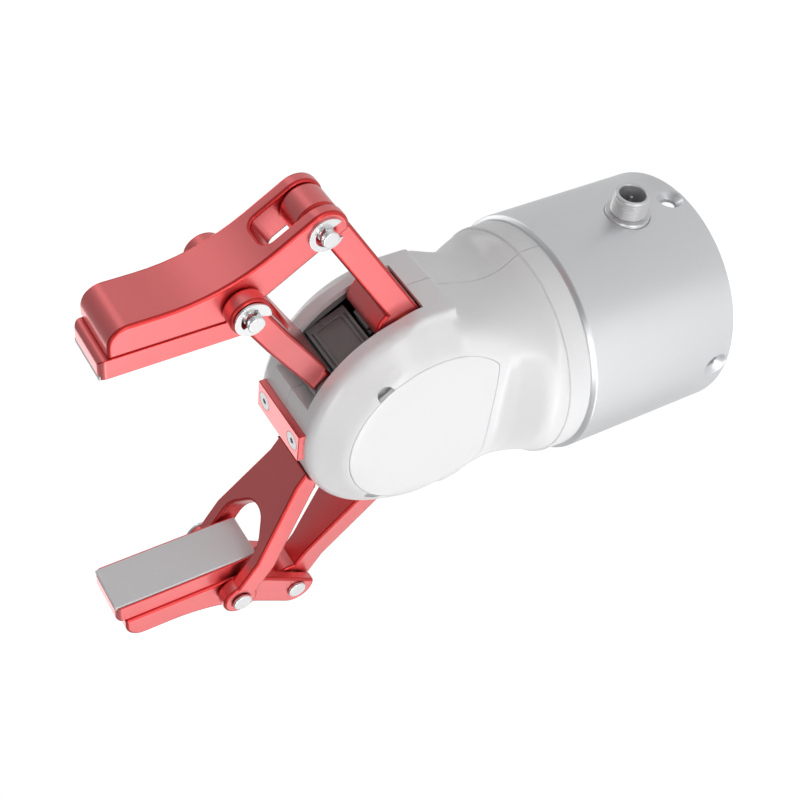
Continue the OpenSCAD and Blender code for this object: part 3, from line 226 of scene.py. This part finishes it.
def finish_piece(bm, node, material, fold=SHADE_FOLD):
    """Makes the bmesh a smooth shaded piece that rides with the node and stands for it."""
    mesh = bpy.data.meshes.new(node + "_piece")
    for face in bm.faces:
        face.smooth = True
        face.material_index = 0
    bm.to_mesh(mesh)
    bm.free()
    mesh.set_sharp_from_angle(angle=radians(fold))
    mesh.materials.append(material)
    piece = bpy.data.objects.new(node + "_piece", mesh)
    scene.collection.objects.link(piece)
    even = piece.modifiers.new("even_shading", "WEIGHTED_NORMAL")
    even.keep_sharp = True
    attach(piece, frame["nodes"][node]["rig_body"])
    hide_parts(node)
    return piece


TONE_SCALE = 35.0         # patches of slightly different tone, about 30 mm wide
TURNED_SCALE = 22.0       # turning marks, before they are drawn out into rings
TURNED_RINGS = (1, 1, 220)
TURNED_GLOSS = 0.12       # how far the turning marks change the gloss
TURNED_FINE = 0.3         # the fine grain between them
RELIEF_DEPTH = 0.0002


def surface(name, colour, roughness, metallic=0.0, coat=0.0, coat_roughness=0.1, grain=0.02,
            grain_scale=1500, bump=0.02, tone=0.02, turned=0.0, rounded=None):
    """A finish with a fine grain in its gloss and relief, and a slow change of tone.

    turned draws lathe marks round Z and spreads the gloss across them. rounded is a darker colour
    painted on the edges that dress has rounded: painted shade, for the darker reflection they show.
    """
    made, wire = blank(name)
    place = wire.add("ShaderNodeTexCoord", out="Object")
    fine = wire.add("ShaderNodeTexNoise", None,
                    {"Vector": place, "Scale": grain_scale, "Detail": 3.0})
    slow = wire.add("ShaderNodeTexNoise", None,
                    {"Vector": place, "Scale": TONE_SCALE, "Detail": 2.0})
    relief = fine
    gloss = (fine - 0.5) * grain * 2 + (slow - 0.5) * grain + roughness
    if turned:
        drawn_out = wire.add("ShaderNodeMapping", None, {"Vector": place, "Scale": TURNED_RINGS})
        marks = wire.add("ShaderNodeTexNoise", None,
                         {"Vector": drawn_out, "Scale": TURNED_SCALE, "Detail": 4.0})
        relief = fine * TURNED_FINE + marks
        gloss = gloss + (marks - 0.5) * TURNED_GLOSS
    darker = (*[c * (1 - tone) for c in colour], 1)
    lighter = (*[min(1, c * (1 + tone)) for c in colour], 1)
    blend = {"data_type": "RGBA", "blend_type": "MIX"}
    shade = wire.add("ShaderNodeMix", blend, {"Factor": slow, 6: darker, 7: lighter}, out=2)
    # Painted shade: the faces marked "rounding" take the darker rounded colour in place of their
    # own.
    if rounded:
        edge_shade_mask = wire.add("ShaderNodeAttribute", {"attribute_name": "rounding"}, out="Fac")
        shade = wire.add("ShaderNodeMix", blend,
                         {"Factor": edge_shade_mask, 6: shade, 7: (*rounded, 1)}, out=2)
    raised = wire.add("ShaderNodeBump", None,
                      {"Strength": bump, "Distance": RELIEF_DEPTH, "Height": relief})
    close(wire, wire.add("ShaderNodeBsdfPrincipled", None, {
        "Base Color": shade, "Roughness": gloss, "Metallic": metallic, "Normal": raised,
        "Coat Weight": coat, "Coat Roughness": coat_roughness,
        "Anisotropic": turned, "Anisotropic Rotation": 0.25}))
    return made


turned_aluminium = surface("turned_aluminium", (0.74, 0.75, 0.765), 0.38, metallic=1.0,
                           bump=0.06, grain_scale=2500, turned=0.75)
dress("rear_housing", turned_aluminium, edge=0.35)


# Inside the housing: the bulkhead, the board, the motor with its gearbox, and the lead screw.
# They show only through the open end and the screw holes, so they keep their plain solids.
def paint(node, material):
    """Gives a CAD node that keeps its own shape a finish."""
    mesh = frame["nodes"][node].data
    mesh.materials.clear()
    mesh.materials.append(material)


machined = surface("machined_aluminium", (0.66, 0.67, 0.68), 0.32, metallic=1.0, bump=0.04)
ground_steel = surface("ground_steel", (0.56, 0.56, 0.57), 0.28, metallic=1.0, bump=0.03)
motor_coat = surface("motor_coat", (0.035, 0.035, 0.04), 0.45, coat=0.2, bump=0.08)
solder_mask = surface("solder_mask", (0.02, 0.12, 0.06), 0.35, coat=0.3)
moulded_black = surface("moulded_black", (0.03, 0.03, 0.033), 0.5, bump=0.05)
bronze = surface("sintered_bronze", (0.50, 0.30, 0.13), 0.4, metallic=0.9, bump=0.08)
for node in ("rear_bulkhead", "motor_plate", "rear_screw_block", "shaft_coupling"):
    paint(node, machined)
for node in ("bulkhead_screws", "motor_encoder", "motor_gearbox", "motor_screws", "housing_bolts",
             "housing_screws", "frame_screws", "screw_bearings", "lead_screw"):
    paint(node, ground_steel)
paint("motor", motor_coat)
paint("control_board", solder_mask)
paint("board_parts", moulded_black)
for node in ("drive_nut", "rear_bushes_1", "rear_bushes_2"):
    paint(node, bronze)


# The cable connector: a nickel plated sleeve with an M12 thread, set in a flat of the housing
# and held by a hexagon nut inside. A grey insert in it holds four plated pins.
nickel = surface("satin_nickel", (0.70, 0.70, 0.71), 0.38, metallic=0.7, bump=0.02)
insert_plastic = surface("insert_plastic", (0.17, 0.17, 0.175), 0.42, bump=0.05)
PLUG_Z = 22.6             # its axis, above the robot face
THREAD_R = 5.62           # half way up the soft rings of the thread
THREAD_RISE = 0.3
THREAD_FOOT = 41.3
THREAD_TURN = 8           # points in one ring of 1 mm
BARREL = [(4.6, 30.1), (5.0, 30.1), (5.0, 39.0)]
FLANGE = [(7.2, 39.0), (7.39, 39.2), (7.39, 40.3), (7.2, 40.6), (5.4, 40.6)]
THREAD = [(THREAD_R + THREAD_RISE * cos(2 * pi * i / THREAD_TURN), THREAD_FOOT + i / THREAD_TURN)
          for i in range(45)]
LIP = [(5.6, 47.3), (5.45, 47.7), (5.2, 47.85), (4.7, 47.85), (4.4, 47.6), (4.3, 47.2)]
BORE_STEP = [(4.3, 41.1), (4.6, 41.1)]
SLEEVE = [*BARREL, *FLANGE, *THREAD, *LIP, *BORE_STEP, BARREL[0]]
ONE_POINT = 0.0005        # mm within which the points of a pole are one


def spun(profile, centre, axis, steps=160):
    """A closed solid turned from [distance from the axis, place along it] points, in mm."""
    bm = bmesh.new()
    along = Vector(axis)
    out = along.orthogonal().normalized()
    line = [bm.verts.new(Vector(centre) + out * r + along * h) for r, h in profile]
    edges = [bm.edges.new(pair) for pair in zip(line, line[1:])]
    bmesh.ops.spin(bm, geom=line + edges, cent=centre, axis=axis, angle=2 * pi, steps=steps,
                   use_merge=True)
    bmesh.ops.remove_doubles(bm, verts=bm.verts, dist=ONE_POINT)
    return bm


bm = spun(SLEEVE, (0, 0, PLUG_Z), (1, 0, 0), steps=96)
bmesh.ops.recalc_face_normals(bm, faces=bm.faces)
bmesh.ops.scale(bm, vec=(MM, MM, MM), verts=bm.verts)
finish_piece(bm, "connector_shell", nickel)
paint("connector_nut", nickel)
paint("connector_insert", insert_plastic)
paint("connector_pins", nickel)


# The front housing: two halves of white moulded plastic with a seam along the slot, bolted to a
# ledge in the rear housing and screwed to the inner frames, with a D-shaped cover over the screws.
# Collar, neck, rim and domes flow into each other, so the form is fused, relaxed and then cut.
white_plastic = surface("white_plastic", (0.86, 0.86, 0.87), 0.3, coat=0.25, coat_roughness=0.15,
                        grain=0.015, bump=0.015, tone=0.006)
WHITE_FOLD = 38           # degrees from which an edge is shaded sharp
WHITE_FLAT = 0.05         # degrees within which faces count as one
HEAD_Z = 105              # centre of the round head
RIM_R = 39.1
RIM_HALF = 14.9
RIM_EDGE = 1              # from the rim's cylinder to the first ring of the dome
TAIL_X = 40.1             # the shoulders beside the rim, where the neck meets the head
TAIL_Z = 96.4
RIM_FOOT = TAIL_Z + 2     # the rim ends here, inside the neck
TAIL_TOP = [(TAIL_X, HEAD_Z + 1), (39.6, HEAD_Z + 4.5), (38.3, HEAD_Z + 8)]
COLLAR_R = 38.3
COLLAR_FOOT = 53
COLLAR_TOP = 64.5
COLLAR_EDGE = 0.4
VOXEL = 0.75
RELAX = 5                 # rounds of smoothing, above the collar
RELAX_FROM = COLLAR_TOP + 0.8
INNER_R = 37              # the hollow of the head, which holds the inner frames
FRAME_OUT = 13.2
BORE_R = 18.5             # the hollow of the neck
BORE_FOOT = 50
SLOT_HALF = 10            # the slot that the links swing in
SLOT_REAR = 104.502
SLOT_SLANT = 1.1
BRIDGE_HALF = 12.514      # the bridge between the two slots, under the clip
BRIDGE_R = 34.1
BRIDGE_OUTER = INNER_R + 1
OUT = 40                  # past the flat sides of the head
BEYOND = 60               # past everything
ABOVE = 160
CLIP_SEAT = (-5.3, 5.3, -13, 13, 143.6, ABOVE)
COVER_R = 28.8
COVER_CUT = 20.6          # from the head's centre down to the straight edge of the cover
COVER_CORNER = 3
COVER_FLOOR = 21.6
COVER_GAP = 0.15
NOTCH_R = 2.9             # the finger notches beside the cover
NOTCH_FLOOR = 19.8
NOTCH_TURNS = (39, 141)
SCREW_SEAT_R = 2.85
SCREW_SEAT_FLOOR = 19.2
SCREW_SEATS = [(-21.474, -12.001), (21.474, -12.001), (-17.395, 17.395), (17.395, 17.395)]
SEAM = 0.09
# distance from the head's axis, and out from its middle
DOME = [(38.6, 14.6), (38.0, 15.7), (36.2, 17.3), (34.2, 18.9), (32.3, 20.6), (30.5, 22.1),
        (28.4, 23.2), (24.2, 24.05), (17.6, 24.65), (9.4, 24.95), (0, 25)]
DOME_INNER = DOME[4:]     # the part that stands clear of the neck
# height, half width, half depth, and the power of the rounded square of each section
NECK = [(64.0, 37.8, 37.8, 2.0), (66.5, 36.4, 37.7, 2.0), (69.0, 34.5, 37.1, 2.0),
        (71.8, 32.9, 35.6, 2.1), (74.6, 32.3, 32.4, 2.4), (77.9, 32.1, 28.7, 2.9),
        (81.5, 32.6, 25.9, 3.6), (85.6, 33.6, 24.7, 4.4), (90.4, 35.2, 24.3, 5.2),
        (95.3, 36.6, 23.9, 5.6), (99.3, 36.4, 22.8, 5.4), (103.0, 34.9, 20.7, 5.0)]


def solid(bm, name):
    """The bmesh as an object of its own, in metres, with its faces turned outwards."""
    bmesh.ops.recalc_face_normals(bm, faces=bm.faces)
    bmesh.ops.scale(bm, vec=(MM, MM, MM), verts=bm.verts)
    mesh = bpy.data.meshes.new(name)
    bm.to_mesh(mesh)
    bm.free()
    made = bpy.data.objects.new(name, mesh)
    scene.collection.objects.link(made)
    return made


def drawn(outline, low, high, plane="XZ"):
    """A closed solid from low to high along Y, drawn from an outline in XZ, or along Z from XY."""
    bm = bmesh.new()
    place = (lambda a, b: (a, low, b)) if plane == "XZ" else (lambda a, b: (a, b, low))
    face = bm.faces.new([bm.verts.new(place(*point)) for point in outline])
    top = bmesh.ops.extrude_face_region(bm, geom=[face])["geom"]
    push = (0, high - low, 0) if plane == "XZ" else (0, 0, high - low)
    bmesh.ops.translate(bm, vec=push, verts=[v for v in top if isinstance(v, bmesh.types.BMVert)])
    return bm


def disc(radius, centre=(0, HEAD_Z), count=160, start=0, stop=360):
    """The points of a circle, or of an arc from start to stop in degrees."""
    whole = stop - start == 360
    turns = [radians(start + (stop - start) * i / count) for i in range(count + (not whole))]
    return [(centre[0] + radius * cos(t), centre[1] + radius * sin(t)) for t in turns]


def box(x0, x1, y0, y1, z0, z1):
    return drawn([(x0, z0), (x1, z0), (x1, z1), (x0, z1)], y0, y1)


def reach(side, near, far):
    """The lowest and highest y of a span on one side of the middle."""
    return sorted((side * near, side * far))


def bake(target):
    """Fixes what the modifiers of the target make in its mesh."""
    target_now = target.evaluated_get(bpy.context.evaluated_depsgraph_get())
    shape = bpy.data.meshes.new_from_object(target_now)
    target.modifiers.clear()
    target.data = shape


def carve(target, operation, *tools):
    """Joins, cuts or intersects the target with each tool, and takes the tools away."""
    for tool in tools:
        step = target.modifiers.new("step", "BOOLEAN")
        step.operation = operation
        step.solver = "MANIFOLD"
        step.object = tool
    bake(target)
    for tool in tools:
        bpy.data.objects.remove(tool)
    return target


def mirrored(profile):
    """The profile of a dome as it runs on the other side of the middle."""
    return [(r, -h) for r, h in reversed(profile)]


rim = spun([*mirrored(DOME), (RIM_R, RIM_EDGE - RIM_HALF), (RIM_R, RIM_HALF - RIM_EDGE), *DOME],
           (0, 0, HEAD_Z), (0, 1, 0))
bmesh.ops.bisect_plane(rim, geom=rim.verts[:] + rim.edges[:] + rim.faces[:],
                       plane_co=(0, 0, RIM_FOOT), plane_no=(0, 0, -1), clear_outer=True)
bmesh.ops.holes_fill(rim, edges=[e for e in rim.edges if e.is_boundary])
white_form = solid(rim, "white_form")
domes = spun([*mirrored(DOME_INNER), *DOME_INNER], (0, 0, HEAD_Z), (0, 1, 0))
tails = drawn([(TAIL_X, TAIL_Z), *TAIL_TOP, *[(-x, z) for x, z in reversed(TAIL_TOP)],
               (-TAIL_X, TAIL_Z)], -RIM_HALF, RIM_HALF)
neck = bmesh.new()
sections = []
for height, half_x, half_y, power in NECK:
    section = bmesh.ops.create_circle(neck, segments=128, radius=1)["verts"]
    for v in section:
        squared = [abs(part) ** (2 / power) * (1 if part > 0 else -1) for part in v.co[:2]]
        v.co = (half_x * squared[0], half_y * squared[1], height)
    sections.append({e for v in section for e in v.link_edges})
for lower, upper in zip(sections, sections[1:]):
    bmesh.ops.bridge_loops(neck, edges=list(lower | upper))
bmesh.ops.holes_fill(neck, edges=[e for e in neck.edges if e.is_boundary])
carve(white_form, "UNION", solid(domes, "domes"), solid(tails, "tails"), solid(neck, "neck"))
even_net = white_form.modifiers.new("even_net", "REMESH")
even_net.mode = "VOXEL"
even_net.voxel_size = VOXEL * MM
bake(white_form)
bm = bmesh.new()
bm.from_mesh(white_form.data)
for _ in range(RELAX):
    above_collar = [v for v in bm.verts if v.co.z > RELAX_FROM * MM]
    bmesh.ops.smooth_vert(bm, verts=above_collar, factor=0.5,
                          use_axis_x=True, use_axis_y=True, use_axis_z=True)
bm.to_mesh(white_form.data)
bm.free()
collar = drawn(disc(COLLAR_R, (0, 0)), COLLAR_FOOT, COLLAR_TOP, plane="XY")
collar_rim = [e for e in collar.edges
              if e.calc_face_angle(0) > 1 and e.verts[0].co.z > (COLLAR_FOOT + COLLAR_TOP) / 2]
bmesh.ops.bevel(collar, geom=collar_rim, offset=COLLAR_EDGE, offset_type="OFFSET", segments=3,
                profile=0.5, affect="EDGES", material=-1)
carve(white_form, "UNION", solid(collar, "collar"))


def cover_outline(grow):
    """The round cover with its straight lower edge, larger all round by grow."""
    r, cut, corner = COVER_R + grow, COVER_CUT + grow, COVER_CORNER + grow
    rise = cut - corner
    at = ((r - corner) ** 2 - rise ** 2) ** 0.5
    lean = degrees(asin(rise / (r - corner)))
    return [*disc(r, start=-lean, stop=180 + lean, count=140),
            *disc(corner, (-at, HEAD_Z - rise), start=180 + lean, stop=270, count=10)[1:],
            *disc(corner, (at, HEAD_Z - rise), start=270, stop=360 - lean, count=10)[:-1]]


def copied(source):
    made = bpy.data.objects.new(source.name + "_copy", source.data.copy())
    scene.collection.objects.link(made)
    return made


def white_piece(target, node):
    """Turns a carved object into the white piece that stands for the node."""
    bm = bmesh.new()
    bm.from_mesh(target.data)
    bpy.data.objects.remove(target)
    bmesh.ops.dissolve_limit(bm, angle_limit=radians(WHITE_FLAT), verts=bm.verts, edges=bm.edges)
    return finish_piece(bm, node, white_plastic, fold=WHITE_FOLD)


SLOT = [(BRIDGE_HALF, SLOT_REAR), (INNER_R, SLOT_REAR), (RIM_R, SLOT_REAR + SLOT_SLANT),
        (BEYOND, SLOT_REAR + SLOT_SLANT), (BEYOND, ABOVE), (BRIDGE_HALF, ABOVE)]
slots = [solid(drawn([(side * x, z) for x, z in SLOT], -SLOT_HALF, SLOT_HALF), "slot")
         for side in (1, -1)]
hollow = solid(drawn(disc(INNER_R), -FRAME_OUT, FRAME_OUT), "hollow")
bore = solid(drawn(disc(BORE_R, (0, 0)), BORE_FOOT, HEAD_Z, plane="XY"), "bore")
shell = carve(copied(white_form), "DIFFERENCE", hollow, bore, *slots)
bridge_out = degrees(acos(BRIDGE_HALF / BRIDGE_OUTER))
bridge_in = degrees(acos(BRIDGE_HALF / BRIDGE_R))
bridge = drawn([*disc(BRIDGE_OUTER, start=bridge_out, stop=180 - bridge_out, count=24),
                *disc(BRIDGE_R, start=180 - bridge_in, stop=bridge_in, count=24)],
               -SLOT_HALF, SLOT_HALF)
carve(shell, "UNION", solid(bridge, "bridge"))
pockets = [solid(box(*CLIP_SEAT), "clip_seat")]
for side in (-1, 1):
    seat = drawn(cover_outline(COVER_GAP), *reach(side, COVER_FLOOR, OUT))
    pockets.append(solid(seat, "cover_seat"))
    for turn in NOTCH_TURNS:
        edge = (COVER_R * cos(radians(turn)), HEAD_Z + COVER_R * sin(radians(turn)))
        notch = drawn(disc(NOTCH_R, edge, count=32), *reach(side, NOTCH_FLOOR, OUT))
        pockets.append(solid(notch, "notch"))
for x, z in SCREW_SEATS:
    for side in (-1, 1):
        seat = drawn(disc(SCREW_SEAT_R, (x, HEAD_Z + z), count=24),
                     *reach(side, SCREW_SEAT_FLOOR, OUT))
        pockets.append(solid(seat, "screw_seat"))
carve(shell, "DIFFERENCE", *pockets)
for name, side in (("near", -1), ("far", 1)):
    half_block = box(-BEYOND, BEYOND, *reach(side, SEAM, BEYOND), BORE_FOOT, ABOVE)
    half = carve(copied(shell), "INTERSECT", solid(half_block, "half_block"))
    white_piece(half, "front_housing_" + name)
    cover_block = drawn(cover_outline(0), *reach(side, COVER_FLOOR, BEYOND))
    cover = carve(copied(white_form), "INTERSECT", solid(cover_block, "cover_block"))
    white_piece(cover, "side_cover_" + name)
bpy.data.objects.remove(shell)
bpy.data.objects.remove(white_form)


# The clip over the front seam: a small red anodised plate that ties the two halves together.
# Two countersunk hexagon socket screws hold it. Its rounded edges get a darker red painted on, as
# painted shade.
# The deep red on the rounded edges of every red part is painted shade.
red_anodised = surface("red_anodised", (0.84, 0.17, 0.175), 0.36, metallic=1.0, coat=0.8,
                       coat_roughness=0.25, grain=0.03, grain_scale=2200, bump=0.05,
                       rounded=(0.62, 0.02, 0.02))
dress("front_clip", red_anodised, edge=0.25)
dress("clip_screws", nickel, edge=0.12)


# The inner frames beside the slot, the guards between the links, and the front screw block:
# dark moulded plastic. The tabs of the guards sit in the frames.
dark_plastic = surface("dark_plastic", (0.23, 0.245, 0.245), 0.45, bump=0.08, grain_scale=2600)
for node in ("side_frame_near", "side_frame_far", "link_guard_1", "link_guard_2",
             "front_screw_block"):
    dress(node, dark_plastic, edge=0.25)


# The drums that carry the front links, the toothed sectors and rack that turn the rear links,
# and the axles of both: blackened steel. Only the drums show, deep in the slot.
dark_steel = surface("blackened_steel", (0.15, 0.15, 0.155), 0.35, metallic=0.6)
for node in ("link_drum_1", "link_drum_2"):
    dress(node, dark_steel, edge=0.3)
for node in ("sector_gear_1", "sector_gear_2", "drive_rack", "rear_axles", "front_axles"):
    paint(node, dark_steel)


# The links: bars milled from aluminium, their edges well rounded, then anodised red.
# The rear ones are plain tapered bars, and the front ones have two legs.
MILLED_EDGE = 0.9
MILLED_WELD = 0.13
for node in ("rear_link_1", "rear_link_2", "front_link_1", "front_link_2"):
    dress(node, red_anodised, edge=MILLED_EDGE, weld=MILLED_WELD)


# The fingers: a bent base with its fork, milled and anodised as the links are, and a carrier
# along its inner side. A grey pad with square edges sits in the recess of the carrier.
pad_rubber = surface("pad_rubber", (0.85, 0.85, 0.86), 0.5, bump=0.05, grain_scale=3000)
for side in (1, 2):
    dress(f"finger_base_{side}", red_anodised, edge=MILLED_EDGE, weld=MILLED_WELD)
    dress(f"pad_carrier_{side}", red_anodised, edge=0.25)
    dress(f"grip_pad_{side}", pad_rubber, edge=0.3)


# The finger pins: bright steel, turned, with a flat head on one end and a groove near the other.
# A clip stamped from spring steel is pressed into each groove, open towards one side.
bright_steel = surface("bright_steel", (0.78, 0.78, 0.79), 0.24, metallic=1.0)
CLIP_R = 5.3
CLIP_T = 0.8
MOUTH = 32                # degrees from the middle of the mouth to its edge
TAB = (55, 98)            # the same to both ends of a tab
TAB_R = 2.05              # the tabs sit in the groove
WINDOW = 104              # the same to the window behind the tabs
WINDOW_R = 3.5
# on side 1: the centre of each clip, its outer face, and the way that its mouth points
CLIPS = [((78.87, 140.23), -9.2, -80), ((63.218, 164.157), -15.1, -125)]


def clip_outline(centre, mouth):
    """Round the back, and inside past two tabs in the groove and a wide window between them."""
    def arc(radius, start, stop, count):
        return disc(radius, centre, count=count, start=mouth + start, stop=mouth + stop)
    return [*arc(CLIP_R, MOUTH, 360 - MOUTH, 60), *arc(TAB_R, 360 - TAB[0], 360 - TAB[1], 8),
            *arc(WINDOW_R, 360 - WINDOW, WINDOW, 30), *arc(TAB_R, TAB[1], TAB[0], 8)]


for side in (1, 2):
    dress(f"finger_pins_{side}", bright_steel, edge=0.35)
    clips = bmesh.new()
    for centre, face_y, mouth in CLIPS:
        clip = drawn(clip_outline(centre, mouth), face_y - CLIP_T, face_y)
        rims = [e for e in clip.edges if abs(e.verts[0].co.y - e.verts[1].co.y) < 0.01]
        bmesh.ops.bevel(clip, geom=rims, offset=0.1, offset_type="OFFSET", segments=2, profile=0.5,
                        affect="EDGES", clamp_overlap=True, material=-1)
        stamped = bpy.data.meshes.new("clip")
        clip.to_mesh(stamped)
        clip.free()
        clips.from_mesh(stamped)
        bpy.data.meshes.remove(stamped)
    half_turn = Matrix.Rotation(pi * (side - 1), 3, "Z")
    bmesh.ops.rotate(clips, cent=(0, 0, 0), matrix=half_turn, verts=clips.verts)
    bmesh.ops.scale(clips, vec=(MM, MM, MM), verts=clips.verts)
    bmesh.ops.recalc_face_normals(clips, faces=clips.faces)
    finish_piece(clips, f"pin_clips_{side}", bright_steel)
